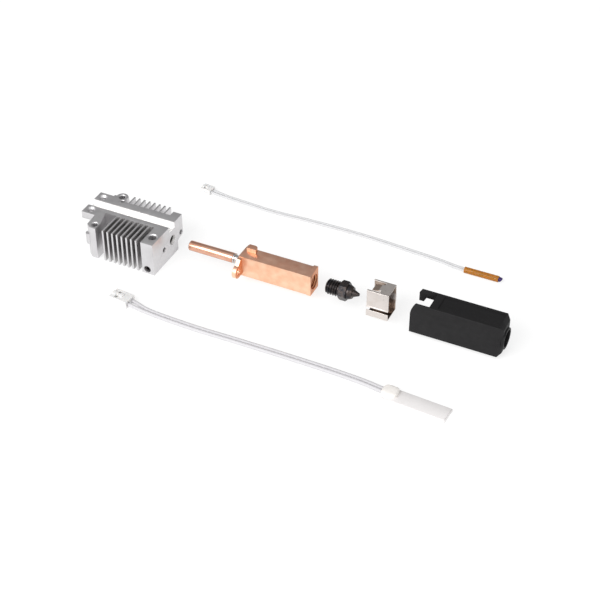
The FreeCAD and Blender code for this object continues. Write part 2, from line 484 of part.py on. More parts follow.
def connector(size, pitch, lead_r, route):
    """Two-way crimp housing and its two contacts; the leads end inside it at the route's start."""
    length, width, height = size
    z = route[0].z
    nose, tail = -NOSE_SHARE * length, (1 - NOSE_SHARE) * length
    side = CAVITY_SHARE * pitch
    inner, bore = side - CONTACT_PLAY, side - CONTACT_PLAY - 2 * CONTACT_WALL
    body = Part.makeBox(length, width, height, V(nose, -width / 2, 0))
    body = body.makeFillet(HOUSING_ROUND, [e for e in body.Edges if e.BoundBox.XLength > 1])
    key = Part.makeBox(KEY_LENGTH_SHARE * length, KEY_WIDTH_SHARE * width, KEY_HEIGHT,
                       V(nose, -KEY_WIDTH_SHARE * width / 2, height))
    cuts, contacts = [], []
    for y in (-pitch / 2, pitch / 2):
        corner = V(0, y - side / 2, z - side / 2)
        cuts.append(Part.makeCylinder(lead_r + ENTRY_PLAY, tail + CLEAR, V(-ENTRY_OVERLAP, y, z), ALONG))
        cuts.append(Part.makeBox(CLEAR - nose, side, side, corner + V(nose - CLEAR, 0, 0)))
        cuts.append(Part.makeBox(side, side, height, V(nose + LATCH_SHARE * length, corner.y, z)))
        box = Part.makeBox(-nose - CONTACT_SUNK - CONTACT_GAP, inner, inner,
                           V(nose + CONTACT_SUNK, y - inner / 2, z - inner / 2))
        hollow = Part.makeBox(-nose - CONTACT_BACK, bore, bore, V(nose, y - bore / 2, z - bore / 2))
        contacts.append(box.cut(hollow))
    housing, *contacts = at_plug([body.fuse(key).cut(cuts)] + contacts, route)
    return housing.removeSplitter(), Part.makeCompound(contacts)


# ---------------------------------------------------------------- plate heater
def on_plate(x0, x1, y0, y1, z0, z1):
    """A cuboid in the plate's own directions, from the plate's centre, turned with the plate."""
    cx, cy = PLATE_CENTRE
    shape = Part.makeBox(x1 - x0, y1 - y0, z1 - z0, V(cx + x0, cy + y0, z0))
    shape.rotate(V(cx, cy, 0), UP, PLATE_TURN)
    return shape


def heater():
    """Ceramic plate, its heating trace and cover, and the cement over the leads' joints."""
    end = PLATE_LENGTH / 2
    half = PLATE_WIDTH / 2
    plate = on_plate(-end, end, -half, half, 0, PLATE_THICK)
    cover = on_plate(end - COVER_MARGIN - COVER_LENGTH, end - COVER_MARGIN, COVER_INSET - half,
                     half - COVER_INSET, PLATE_THICK, PLATE_THICK + COVER_THICK)
    rows = [TRACE_PITCH * (i - (TRACE_ROWS - 1) / 2) for i in range(TRACE_ROWS)]
    left, right = end - COVER_MARGIN - COVER_LENGTH + TRACE_MARGIN, end - COVER_MARGIN - TRACE_MARGIN
    z0, z1, w = PLATE_THICK, PLATE_THICK + TRACE_THICK, TRACE_WIDTH / 2
    strips = [on_plate(left, right, y - w, y + w, z0, z1) for y in rows]
    strips += [on_plate(right - 2 * w, right, y - w, y + TRACE_PITCH + w, z0, z1) for y in rows[::2]]
    strips.append(on_plate(left, left + 2 * w, rows[1] - w, rows[2] + w, z0, z1))
    trace = strips[0].fuse(strips[1:]).removeSplitter()
    leads = beside_pair(HEATER_ROUTE, HEATER_PITCH, HEATER_LEAD_GAP, HEATER_LEAD_R, "heater_lead")
    pins = []
    for side in (1, -1):
        start = V(HEATER_ROUTE[-1].x + PIN_GAP, PLATE_CENTRE[1] + side * HEATER_LEAD_GAP / 2,
                  PLATE_THICK + PIN_R + FIT)
        pin = Part.makeCylinder(PIN_R, PIN_LENGTH, start, ALONG)
        pin.rotate(V(*PLATE_CENTRE, 0), UP, PLATE_TURN)
        pins.append(pin)
    cement = Part.makeBox(CEMENT_LENGTH, CEMENT_WIDTH, CEMENT_HEIGHT,
                          V(CEMENT_START, PLATE_CENTRE[1] + CEMENT_OFFSET - CEMENT_WIDTH / 2, 0))
    upper = [edge for edge in cement.Edges if edge.BoundBox.ZMax > CEMENT_HEIGHT / 2]
    cement = cement.makeFillet(CEMENT_ROUND, upper)
    cement.rotate(V(*PLATE_CENTRE, 0), UP, PLATE_TURN)
    cement = cement.cut(pins).cut([plate, cover, trace] + list(leads.values()))
    housing, contacts = connector(HEATER_HOUSING, HEATER_PITCH, HEATER_LEAD_R, HEATER_ROUTE)
    return {"heater_plate": plate, "heater_cover": cover.cut(trace), "heater_trace": trace,
            "heater_pins": Part.makeCompound(pins), "heater_cement": cement,
            "heater_connector": housing, "heater_contacts": contacts, **leads}


# ---------------------------------------------------------------- temperature sensor
def sensor_rods(x0, x1, radius, gap):
    """Two thin rods side by side inside the sleeve."""
    return Part.makeCompound([
        Part.makeCylinder(radius, x1 - x0, V(x0, SLEEVE_Y + side * gap / 2, SLEEVE_R), ALONG)
        for side in (1, -1)])


def sensor():
    """Glass bead on two legs in an insulating sleeve, spliced to its leads."""
    start = V(SLEEVE_START, SLEEVE_Y, SLEEVE_R)
    sleeve = Part.makeCylinder(SLEEVE_R, SLEEVE_END - SLEEVE_START, start, ALONG)
    sleeve = sleeve.cut(Part.makeCylinder(SLEEVE_R - SLEEVE_WALL, SLEEVE_END - SLEEVE_START, start, ALONG))
    bead = Part.makeCylinder(BEAD_R, BEAD_LENGTH, V(BEAD_START, SLEEVE_Y, SLEEVE_R), ALONG)
    bead = bead.makeFillet(BEAD_ROUND, [edge for edge in bead.Edges if edge.Closed])
    splice_end = SPLICE_START + SPLICE_LENGTH
    leads = beside_pair(SENSOR_ROUTE, SENSOR_PITCH, SENSOR_LEAD_GAP, SENSOR_LEAD_R, "sensor_lead")
    housing, contacts = connector(SENSOR_HOUSING, SENSOR_PITCH, SENSOR_LEAD_R, SENSOR_ROUTE)
    return {"sensor_sleeve": sleeve, "sensor_bead": bead,
            "sensor_splices": sensor_rods(SPLICE_START, splice_end, SPLICE_R, SENSOR_LEAD_GAP),
            "sensor_legs": sensor_rods(splice_end, BEAD_START, LEG_R, LEG_GAP),
            "sensor_connector": housing, "sensor_contacts": contacts, **leads}


def build():
    """Every node's shape, by name."""
    return {
        "heatsink": heatsink(),
        "grub_screw": grub_screw(),
        "throat_tube": throat_tube(),
        "heat_break": heat_break(),
        "heater_block": heater_block(),
        "nozzle": nozzle(),
        "spring_clip": spring_clip(),
        "silicone_sock": silicone_sock(),
        **heater(),
        **sensor(),
    }


os.makedirs("parts", exist_ok=True)
for name, shape in build().items():
    if not shape.isValid():
        raise SystemExit(name + " is not a valid shape")
    shape.exportStep(f"parts/{name}.step")
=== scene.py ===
"""Looks of a hotend assembly laid out in line: materials, rounded edges, leads, light and camera.

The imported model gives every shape's place.  Lengths in the code are metres, and the constants
marked mm are millimetres, turned into metres where they are used.
"""
import math

import bmesh
import bpy
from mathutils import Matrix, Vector, noise

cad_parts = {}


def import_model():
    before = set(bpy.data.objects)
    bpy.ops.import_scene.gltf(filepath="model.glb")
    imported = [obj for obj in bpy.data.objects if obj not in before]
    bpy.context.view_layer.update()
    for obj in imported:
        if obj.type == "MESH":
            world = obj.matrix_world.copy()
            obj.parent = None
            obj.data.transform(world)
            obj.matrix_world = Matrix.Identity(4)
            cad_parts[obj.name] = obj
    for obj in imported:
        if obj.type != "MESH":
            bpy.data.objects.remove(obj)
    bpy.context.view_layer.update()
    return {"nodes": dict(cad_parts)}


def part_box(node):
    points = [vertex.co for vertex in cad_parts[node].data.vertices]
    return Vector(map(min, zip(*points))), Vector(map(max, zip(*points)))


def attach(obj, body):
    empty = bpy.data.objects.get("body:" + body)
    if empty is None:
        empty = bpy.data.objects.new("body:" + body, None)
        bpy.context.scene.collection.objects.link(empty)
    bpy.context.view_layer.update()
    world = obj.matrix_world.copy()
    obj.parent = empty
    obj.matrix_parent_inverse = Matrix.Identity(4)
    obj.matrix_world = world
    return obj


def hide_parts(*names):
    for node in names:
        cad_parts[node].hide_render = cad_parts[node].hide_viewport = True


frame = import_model()

MM = 0.001

# ---- where things lie at rest (mm), for finishes and for painted shade and highlights that change from place to place
AXIS_Y, AXIS_Z = 2.05, 7.1                  # of the filament's path
SINK_HOT_X, SINK_COLD_X, SINK_TOP_Z = -50.15, -80.35, 14.2
GROOVE_Z, GROOVE_REACH = 11.8, 2.05
SINK_BORE_REACH, SINK_TAP_REACH = 2.2, 7.6  # from the axis to past the bore, and past both taps
FIN_SPACE = ((-72.9, -55.45), (-12.65, -1.95), (0.15, 14.05))
BLOCK_END_X, BLOCK_BORE_DEPTH, BLOCK_BORE_REACH = 10.55, 7.4, 3.1
# boxes for the clip's painted shade inside and its painted shadow behind the split
CLIP_PAINTED_SHADE_INSIDE = ((33.45, 41.95), (-1.56, 5.66), (2.35, 13.45))
CLIP_GAP_PAINTED_SHADOW = ((33.40, 41.95), (-1.95, 2.40), (2.35, 6.20))

# ---- camera: where it looks, from where, and its lens
AZIMUTH, ELEVATION = math.radians(25.6), math.radians(38.9)
CAMERA_RANGE = 0.5317
AIM = Vector((0.0109, -0.0111, 0.0080))
LENS = 87.0

# ---- leads: sizes, and each pair's route from inside its connector to its other end
HEATER_LEAD_D, HEATER_LEAD_GAP, HEATER_PITCH = 0.00145, 0.0015, 0.0025
SENSOR_LEAD_D, SENSOR_LEAD_GAP, SENSOR_PITCH = 0.0010, 0.00105, 0.0015
HEATER_LEAD_LENGTHS, SENSOR_LEAD_LENGTHS = (0.10754, 0.10746), (0.11809, 0.11823)
POINTS_IN_PLUG = 2
HEATER_LIE, SENSOR_LIE = 0.000745, 0.00052  # height of the leads' middle on the table
HEATER_ROUTE = [(-0.0518, -0.0321, 0.00145), (-0.0476, -0.03255, 0.00135),
                (-0.0426, -0.03335, HEATER_LIE), (-0.0365, -0.0339, HEATER_LIE),
                (-0.0295, -0.0342, HEATER_LIE), (-0.019, -0.0345, HEATER_LIE),
                (-0.0095, -0.03425, HEATER_LIE), (0.0005, -0.0341, HEATER_LIE),
                (0.0105, -0.034, HEATER_LIE), (0.0205, -0.034, HEATER_LIE),
                (0.0305, -0.03405, HEATER_LIE), (0.04, -0.03425, HEATER_LIE),
                (0.0475, -0.0348, 0.0009), (0.0518, -0.0356, 0.0011), (0.0554, -0.0361, 0.00115)]
SENSOR_ROUTE = [(-0.05785, 0.0456, 0.0011), (-0.0542, 0.0452, 0.001),
                (-0.0493, 0.04495, 0.00065), (-0.044, 0.04475, SENSOR_LIE),
                (-0.0384, 0.04445, SENSOR_LIE), (-0.0327, 0.04405, SENSOR_LIE),
                (-0.0271, 0.0439, SENSOR_LIE), (-0.0218, 0.044, SENSOR_LIE),
                (-0.0155, 0.0445, SENSOR_LIE), (-0.007, 0.0447, SENSOR_LIE),
                (0.0035, 0.0449, SENSOR_LIE), (0.013, 0.0448, SENSOR_LIE),
                (0.0205, 0.04435, SENSOR_LIE), (0.0305, 0.0437, SENSOR_LIE),
                (0.0405, 0.04305, SENSOR_LIE), (0.047, 0.0423, 0.00065),
                (0.0534, 0.0405, 0.00125), (0.0599, 0.0405, 0.00125)]


# ------------------------------------------------------------------ materials
GRAIN_SCALE = 1000  # noise scale for features of 1 mm
BAND_SCALE = 314    # wave scale for bands 1 mm apart


class Finish:
    """A material being built, with short calls for the few nodes used here."""

    def __init__(self, name, colour, **values):
        self.material = bpy.data.materials.new(name)
        self.material.use_nodes = True
        self.tree = self.material.node_tree
        self.shader = self.tree.nodes["Principled BSDF"]
        self.shader.inputs["Base Color"].default_value = (*colour, 1)
        sockets = {socket.name.lower().replace(" ", "_"): socket for socket in self.shader.inputs}
        for key, value in values.items():
            sockets[key].default_value = value
        self.place = self.node("ShaderNodeTexCoord").outputs["Object"]

    def node(self, kind, **inputs):
        """A new node, its inputs given by name as values or as another node's output."""
        made = self.tree.nodes.new(kind)
        for key, value in inputs.items():
            self.feed(made.inputs[key.replace("_", " ").title()], value)
        return made

    def feed(self, socket, value):
        """Sets a socket to a value, or links another node's output to it."""
        if isinstance(value, bpy.types.NodeSocket):
            self.tree.links.new(value, socket)
        else:
            socket.default_value = value

    def drawn(self, x=1.0, y=1.0, z=1.0, source=None):
        """Coordinates scaled along each axis: a factor under 1 draws a pattern out."""
        made = self.node("ShaderNodeMapping", Vector=source or self.place, Scale=(x, y, z))
        return made.outputs["Vector"]

    def grain(self, size, detail=3.0, where=None):
        """Noise from 0 to 1 with features of about size (mm)."""
        made = self.node("ShaderNodeTexNoise", Vector=where or self.place,
                         Scale=GRAIN_SCALE / size, Detail=detail)
        return made.outputs[0]

    def bands(self, size, axis, distortion=0.0, where=None):
        """Parallel bands, about size (mm) apart, across an axis."""
        made = self.node("ShaderNodeTexWave", Vector=where or self.place,
                         Scale=BAND_SCALE / size, Distortion=distortion)
        made.bands_direction = axis
        return made.outputs["Fac"]

    def remap(self, value, low, high, start=0.3, stop=0.7):
        """A value from start..stop turned into low..high, clamped."""
        made = self.node("ShaderNodeMapRange", Value=value, From_Min=start, From_Max=stop,
                         To_Min=low, To_Max=high)
        return made.outputs["Result"]

    def along(self, axis, source=None):
        """One part of the place, or of another vector."""
        made = self.node("ShaderNodeSeparateXYZ", Vector=source or self.place)
        return made.outputs[axis]

    def within(self, axis, low, high, soft=0.05):
        """1 where the place along an axis lies between low and high (mm), 0 elsewhere."""
        spot = self.along(axis)
        rising = self.remap(spot, 0.0, 1.0, (low - soft) * MM, (low + soft) * MM)
        falling = self.remap(spot, 1.0, 0.0, (high - soft) * MM, (high + soft) * MM)
        return self.both(rising, falling)

    def inside(self, xs, ys, zs, soft=0.05):
        """1 inside a box given by its (low, high) along each axis (mm), 0 outside."""
        parts = [self.within(axis, *span, soft) for axis, span in zip("XYZ", (xs, ys, zs))]
        return self.both(self.both(parts[0], parts[1]), parts[2])

    def facing(self, axis, start, stop):
        """0 to 1 as the surface's normal goes from start to stop along an axis."""
        normal = self.node("ShaderNodeTexCoord").outputs["Normal"]
        return self.remap(self.along(axis, normal), 0.0, 1.0, start, stop)

    def both(self, first, second, how="MULTIPLY"):
        """Two values joined by a Math operation."""
        made = self.tree.nodes.new("ShaderNodeMath")
        made.operation = how
        self.feed(made.inputs[0], first)
        self.feed(made.inputs[1], second)
        return made.outputs[0]

    def mixed(self, factor, first, second):
        """Two colours mixed by a factor: the first at 0, the second at 1."""
        made = self.tree.nodes.new("ShaderNodeMix")
        made.data_type = "RGBA"
        factor_in, first_in, second_in = (made.inputs[i] for i in (0, 6, 7))
        self.feed(factor_in, factor)
        for socket, value in ((first_in, first), (second_in, second)):
            self.feed(socket, (*value, 1) if isinstance(value, tuple) else value)
        return made.outputs[2]

    def colour(self, value):
        """The shader's base colour."""
        self.feed(self.shader.inputs["Base Color"], value)

    def roughness(self, value):
        """The shader's roughness."""
        self.feed(self.shader.inputs["Roughness"], value)

    def bump(self, height, depth, strength=0.5):
        """Relief of a depth (mm), on top of any relief that the shader has already."""
        made = self.node("ShaderNodeBump", Height=height, Distance=depth * MM, Strength=strength)
        normal = self.shader.inputs["Normal"]
        if normal.is_linked:
            self.feed(made.inputs["Normal"], normal.links[0].from_socket)
        self.feed(normal, made.outputs["Normal"])


def about(middle, reach):
    """The (low, high) that lie a reach to both sides of a middle."""
    return middle - reach, middle + reach


def blasted_aluminium():
    """Bead-blasted outside, cutter marks in the groove; painted highlights on the groove and the
    bore's mouth, painted shade in the slots, bore and taps.
    """
    paint = Finish("blasted_aluminium", (0.66, 0.66, 0.67), metallic=1.0)
    clouds = paint.grain(5.0, 4)
    skin = paint.mixed(clouds, (0.61, 0.60, 0.61), (0.72, 0.71, 0.72))
    # the fin slots are darkened: painted shade
    slots = paint.inside(*FIN_SPACE)
    skin = paint.mixed(slots, skin, (0.43, 0.42, 0.42))
    # the bore and the tapped holes are made near black: painted shade in the holes
    bore_ys, bore_zs = about(AXIS_Y, SINK_BORE_REACH), about(AXIS_Z, SINK_BORE_REACH)
    bore = paint.inside((SINK_COLD_X + 1.2, SINK_HOT_X - 1.2), bore_ys, bore_zs, 0.3)
    taps = paint.inside((SINK_HOT_X - 5.0, SINK_HOT_X - 0.6), about(AXIS_Y, SINK_TAP_REACH),
                        (AXIS_Z - 1.7, AXIS_Z + 0.7), 0.15)
    skin = paint.mixed(paint.both(bore, taps, "MAXIMUM"), skin, (0.07, 0.065, 0.06))
    # the bore's mouth at the hot end is made near white: painted highlight
    mouth = paint.inside((SINK_HOT_X - 1.1, SINK_HOT_X - 0.13), bore_ys, bore_zs)
    skin = paint.mixed(mouth, skin, (0.95, 0.94, 0.93))
    # the groove is made near white: painted highlight; it is also rougher, and its cutter marks are
    # relief
    groove = paint.both(paint.within("Y", *about(AXIS_Y, GROOVE_REACH)),
                        paint.within("Z", GROOVE_Z, SINK_TOP_Z - 0.05))
    paint.colour(paint.mixed(groove, skin, (0.97, 0.96, 0.95)))
    wear = paint.remap(paint.grain(1.4, 5), 0.33, 0.50)
    paint.roughness(paint.both(wear, paint.both(groove, 0.22), "ADD"))
    cutter = paint.bands(0.42, "DIAGONAL", 0.8, paint.drawn(y=0.55, z=0.1))
    paint.bump(paint.both(cutter, groove), 0.020, 0.35)
    paint.bump(paint.bands(0.34, "X", 1.2, paint.drawn(z=0.15)), 0.004, 0.25)
    paint.bump(paint.grain(0.11, 2), 0.010, 0.45)
    paint.bump(paint.grain(3.0, 2), 0.06, 0.20)
    return paint.material


def turned_steel():
    """Thin-walled steel, grey, with fine rings left by the lathe."""
    paint = Finish("turned_steel", (0.56, 0.55, 0.55), metallic=1.0)
    paint.colour(paint.mixed(paint.grain(0.8, 3), (0.50, 0.49, 0.49), (0.62, 0.61, 0.61)))
    paint.roughness(paint.remap(paint.grain(0.5), 0.14, 0.28))
    paint.bump(paint.bands(0.12, "X", 0.6), 0.004, 0.25)
    return paint.material


def drawn_copper():
    """Bright copper tube: lengthwise draw marks, slight tarnish, painted shade on its underside."""
    paint = Finish("drawn_copper", (0.86, 0.50, 0.36), metallic=1.0)
    tarnish = paint.remap(paint.grain(2.2, 4, paint.drawn(x=0.35)), 0.0, 1.0)
    skin = paint.mixed(tarnish, (0.84, 0.50, 0.37), (0.66, 0.33, 0.22))
    # surfaces facing down are mixed to dark brown: painted shade
    under = paint.facing("Z", -0.35, -0.75)
    paint.colour(paint.mixed(under, skin, (0.30, 0.12, 0.06)))
    paint.roughness(paint.remap(paint.grain(0.6, 4, paint.drawn(x=0.1)), 0.10, 0.18))
    paint.bump(paint.grain(0.16, 2, paint.drawn(x=0.05)), 0.004, 0.35)
    return paint.material


def milled_copper():
    """Milled copper alloy: cutter lines, painted shade (darker, redder copper) on top and on faces
    towards +X, its bore threaded and darkened inside by painted shade.
    """
    paint = Finish("milled_copper", (0.93, 0.62, 0.44), metallic=1.0)
    tarnish = paint.remap(paint.grain(3.5, 5), 0.0, 1.0, 0.35, 0.68)
    # top faces and faces towards +X (the ends and lugs) get darker, redder colours: painted shade
    sides = paint.mixed(tarnish, (0.98, 0.66, 0.47), (0.90, 0.51, 0.33))
    top = paint.mixed(tarnish, (0.94, 0.58, 0.43), (0.84, 0.44, 0.30))
    skin = paint.mixed(paint.facing("Z", 0.6, 0.9), sides, top)
    skin = paint.mixed(paint.facing("X", 0.6, 0.9), skin, (0.66, 0.29, 0.15))
    bore = paint.inside((BLOCK_END_X - BLOCK_BORE_DEPTH - 0.1, BLOCK_END_X - 0.15),
                        about(AXIS_Y, BLOCK_BORE_REACH), about(AXIS_Z, BLOCK_BORE_REACH))
    # the bore's wall goes from near black deep inside to orange at its mouth: painted shade
    light = paint.remap(paint.along("X"), 0.30, 0.95, (BLOCK_END_X - 3.5) * MM, BLOCK_END_X * MM)
    wall = paint.mixed(light, (0.22, 0.07, 0.03), (0.92, 0.42, 0.22))
    paint.colour(paint.mixed(bore, skin, wall))
    paint.roughness(paint.remap(paint.grain(1.0, 5, paint.drawn(x=0.4)), 0.30, 0.44))
    paint.bump(paint.both(paint.bands(1.0, "X"), bore), 0.35, 0.8)
    paint.bump(paint.bands(0.30, "X", 2.0), 0.004, 0.25)
    paint.bump(paint.grain(0.25, 3), 0.006, 0.30)
    return paint.material


def blackened_steel():
    """Hardened, blackened steel: deep grey, satin, with brown tints."""
    paint = Finish("blackened_steel", (0.05, 0.05, 0.055), metallic=0.85)
    tint = paint.remap(paint.grain(1.6, 4), 0.0, 1.0, 0.40, 0.72)
    paint.colour(paint.mixed(tint, (0.034, 0.034, 0.038), (0.085, 0.066, 0.058)))
    paint.roughness(paint.remap(paint.grain(0.8, 4), 0.20, 0.36))
    paint.bump(paint.grain(0.14, 2), 0.006, 0.35)
    return paint.material


def spring_steel():
    """Rolled nickel-plated strip: satin outside, painted shade inside, a painted shadow behind the
    split.
    """
    paint = Finish("spring_steel", (0.74, 0.70, 0.67), metallic=1.0)
    streaks = paint.grain(0.35, 3, paint.drawn(x=0.12))
    stains = paint.remap(paint.grain(2.6, 4), 0.0, 0.6, 0.55, 0.80)
    plating = paint.mixed(streaks, (0.70, 0.645, 0.61), (0.76, 0.705, 0.67))
    outer = paint.mixed(stains, plating, (0.64, 0.57, 0.52))
    # the clip's inside surfaces are made a darker brown: painted shade
    inner = paint.mixed(paint.inside(*CLIP_PAINTED_SHADE_INSIDE), outer, (0.42, 0.33, 0.27))
    # behind the split between the flaps the colour is near black: painted shadow
    paint.colour(paint.mixed(paint.inside(*CLIP_GAP_PAINTED_SHADOW), inner, (0.045, 0.032, 0.026)))
    paint.roughness(paint.remap(streaks, 0.27, 0.33))
    paint.bump(streaks, 0.0006, 0.20)
    return paint.material


def moulded_silicone():
    """Dark silicone: matt, slightly uneven, with a fine eroded mould texture and lint."""
    paint = Finish("moulded_silicone", (0.009, 0.009, 0.010), specular_ior_level=0.26)
    dust = paint.remap(paint.grain(0.35, 6), 0.0, 1.0, 0.62, 0.80)
    flow = paint.grain(1.6, 4, paint.drawn(x=0.18))
    skin = paint.mixed(flow, (0.0045, 0.0042, 0.0048), (0.0090, 0.0085, 0.0092))
    paint.colour(paint.mixed(dust, skin, (0.022, 0.021, 0.021)))
    paint.roughness(paint.remap(paint.grain(2.5, 4), 0.50, 0.68))
    paint.bump(paint.grain(0.16, 2), 0.012, 0.45)
    paint.bump(paint.grain(4.0, 2), 0.05, 0.25)
    return paint.material


def fired_ceramic():
    """Fired alumina: white-grey, faintly speckled, satin."""
    paint = Finish("fired_ceramic", (0.80, 0.79, 0.79), coat_weight=0.15, coat_roughness=0.35)
    speckle = paint.remap(paint.grain(0.22, 3), 0.0, 1.0, 0.62, 0.76)
    base = paint.mixed(paint.grain(5.0, 3), (0.72, 0.695, 0.69), (0.80, 0.78, 0.775))
    paint.colour(paint.mixed(speckle, base, (0.60, 0.58, 0.58)))
    paint.roughness(paint.remap(paint.grain(1.2, 4), 0.34, 0.52))
    paint.bump(paint.grain(0.20, 3), 0.008, 0.40)
    return paint.material


def cement():
    """Cast cement: cream, porous and matt."""
    paint = Finish("cement", (0.88, 0.84, 0.79))
    pores = paint.remap(paint.grain(0.45, 4), 0.0, 1.0, 0.62, 0.76)
    base = paint.mixed(paint.grain(2.0, 4), (0.76, 0.725, 0.69), (0.84, 0.815, 0.79))
    paint.colour(paint.mixed(pores, base, (0.68, 0.62, 0.55)))
    paint.roughness(paint.remap(paint.grain(0.8, 3), 0.55, 0.80))
    paint.bump(pores, 0.05, -0.6)
    paint.bump(paint.grain(0.12, 3), 0.02, 0.5)
    return paint.material


def natural_nylon():
    """Natural moulded nylon: milky white, lets a little light in."""
    paint = Finish("natural_nylon", (0.74, 0.74, 0.73), subsurface_weight=0.30,
                   subsurface_scale=0.6 * MM, subsurface_radius=(1.0, 0.9, 0.8))
    paint.colour(paint.mixed(paint.grain(1.5, 3), (0.70, 0.695, 0.69), (0.78, 0.775, 0.77)))
    paint.roughness(paint.remap(paint.grain(0.7, 3), 0.26, 0.42))
    paint.bump(paint.grain(0.12, 2), 0.006, 0.35)
    return paint.material


def tinned_metal():
    """Tinned contacts: bright, soft grey, slightly dimpled."""
    paint = Finish("tinned_metal", (0.74, 0.73, 0.70), metallic=1.0)
    paint.roughness(paint.remap(paint.grain(0.4), 0.22, 0.42))
    paint.bump(paint.grain(0.18, 2), 0.008, 0.4)
    return paint.material


def brown_joints():
    """Tinned joints under flux: dark brown, glossy, uneven."""
    paint = Finish("brown_joints", (0.20, 0.09, 0.03), metallic=0.3, coat_weight=0.4)
    paint.colour(paint.mixed(paint.grain(0.6, 4), (0.12, 0.05, 0.02), (0.30, 0.14, 0.05)))
    paint.roughness(paint.remap(paint.grain(0.3), 0.25, 0.50))
    paint.bump(paint.grain(0.15, 2), 0.012, 0.5)
    return paint.material


def fired_print():
    """Printed conductor: dark grey, rough fired metal."""
    paint = Finish("fired_print", (0.28, 0.27, 0.27), metallic=0.7)
    paint.roughness(paint.remap(paint.grain(0.3), 0.42, 0.66))
    paint.bump(paint.grain(0.10, 2), 0.006, 0.5)
    return paint.material


def lead_finish(name, light, dark, pitch, length):
    """Sleeving with a crossed braid: its threads lie 0.63 of a pitch (m) apart along the lead."""
    paint = Finish(name, light, sheen_weight=0.15)
    lead_uv = paint.node("ShaderNodeTexCoord").outputs["UV"]
    slant = 6
    threads = [paint.bands(BAND_SCALE, "DIAGONAL", 0.0,
                           paint.drawn(length / pitch, side * slant, 0, lead_uv))
               for side in (1, -1)]
    weave = paint.both(*threads, "MAXIMUM")
    paint.colour(paint.mixed(weave, dark, light))
    paint.roughness(paint.remap(paint.grain(0.8, 3), 0.40, 0.62))
    paint.bump(weave, 0.03, 0.5)
    return paint.material


def amber_film():
    """Thin amber film tube: clear, glossy, with wrapped layers that show as faint streaks."""
    paint = Finish("amber_film", (0.90, 0.45, 0.10), transmission_weight=0.60, ior=1.25)
    streaks = paint.grain(0.40, 3, paint.drawn(x=0.04))
    paint.colour(paint.mixed(streaks, (0.40, 0.13, 0.01), (0.92, 0.46, 0.09)))
    paint.roughness(paint.remap(paint.grain(0.8, 3, paint.drawn(x=0.1)), 0.06, 0.18))
    paint.bump(streaks, 0.02, 0.4)
    return paint.material


def bead_glass():
    """Dark violet glass with a glossy skin."""
    paint = Finish("bead_glass", (0.04, 0.02, 0.12), specular_ior_level=0.35)
    paint.colour(paint.mixed(paint.grain(0.9, 3), (0.014, 0.006, 0.05), (0.06, 0.03, 0.16)))
    paint.roughness(paint.remap(paint.grain(0.4), 0.08, 0.22))
    paint.bump(paint.grain(0.5, 2), 0.01, 0.4)
    return paint.material


# ------------------------------------------------------------------ pieces
SAME_POINT = 0.002 * MM
SAME_FACE, SHARP_EDGE, CRISP_EDGE = math.radians(1.0), math.radians(30), math.radians(35)


def add(name, mesh, body, slot, material, *stands_for):
    """A new piece on a body, in a finish; its slot is not used."""
    piece = bpy.data.objects.new(name, mesh)
    bpy.context.scene.collection.objects.link(piece)
    piece.data.materials.clear()
    piece.data.materials.append(material)
    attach(piece, body)
    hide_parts(*stands_for)
    return piece


def smooth(mesh, angle):
    """Smooth shading, with edges sharper than an angle left crisp."""
    mesh.shade_smooth()
    mesh.set_sharp_from_angle(angle=angle)


def rounded(node, body, slot, material, width):
    """A CAD node with its sharp edges rounded to width (mm), standing for it."""
    mesh = frame["nodes"][node].data.copy()
    shape = bmesh.new()
    shape.from_mesh(mesh)
    bmesh.ops.remove_doubles(shape, verts=shape.verts, dist=SAME_POINT)
    bmesh.ops.dissolve_limit(shape, angle_limit=SAME_FACE, verts=shape.verts, edges=shape.edges)
    sharp = [edge for edge in shape.edges
             if len(edge.link_faces) == 2 and edge.calc_face_angle(0) > SHARP_EDGE]
    bmesh.ops.bevel(shape, geom=sharp, offset=width * MM, segments=2, profile=0.5,
                    affect="EDGES", clamp_overlap=True)
    shape.to_mesh(mesh)
    shape.free()
    smooth(mesh, CRISP_EDGE)
    return add(node + "_finished", mesh, body, slot, material, node)


def paint_node(node, material):
    """Gives a CAD node its finish."""
    slots = frame["nodes"][node].data.materials
    slots.clear()
    slots.append(material)


# ------------------------------------------------------------------ leads
def beside(route, pitch, gap, side):
    """One lead's points: half the connector's pitch off the route, then half the pair's gap."""
    route = [Vector(p) for p in route]
    points = []
    for i, here in enumerate(route):
        way = route[min(i + 1, len(route) - 1)] - route[max(i - 1, 0)]
        across = Vector((-way.y, way.x, 0)).normalized()
        apart = pitch if i < POINTS_IN_PLUG else gap
        points.append(here + across * (side * apart / 2))
    return points


def lead(name, points, diameter, body, slot, material):
    """A free lead on its route, from its exit (the route's last point) to its plug."""
    curve = bpy.data.curves.new(name, "CURVE")
    curve.dimensions = "3D"
    curve.bevel_depth = diameter / 2
    curve.bevel_resolution = 5
    curve.resolution_u = 12
    curve.use_fill_caps = True
    spline = curve.splines.new("NURBS")
    spline.points.add(len(points) - 1)
    for target, point in zip(spline.points, points):
        target.co = (*point, 1)
    spline.order_u = 3
    spline.use_endpoint_u = True
    piece = add(name + "_sleeved", curve, body, slot, material, name)


def leads():
    """Both pairs of leads."""
    pairs = (
        ("heater_lead", HEATER_ROUTE, HEATER_PITCH, HEATER_LEAD_GAP, HEATER_LEAD_D, "heater",
         "lead_sleeving", HEATER_LEAD_LENGTHS, "heater_connector",
         lead_finish("glass_braid", (0.60, 0.59, 0.61), (0.46, 0.45, 0.46), 0.9 * MM, 0.1075)),
        ("sensor_lead", SENSOR_ROUTE, SENSOR_PITCH, SENSOR_LEAD_GAP, SENSOR_LEAD_D, "sensor",
         "sensor_lead_sleeving", SENSOR_LEAD_LENGTHS, "sensor_connector",
         lead_finish("fine_sleeving", (0.64, 0.64, 0.65), (0.54, 0.54, 0.55), 0.5 * MM, 0.1182)),
    )
    for name, route, pitch, gap, diameter, body, slot, lengths, plug, material in pairs:
        for letter, side, length in zip("ab", (1, -1), lengths):
            lead(f"{name}_{letter}", beside(route, pitch, gap, side), diameter, body,
                 slot, material)


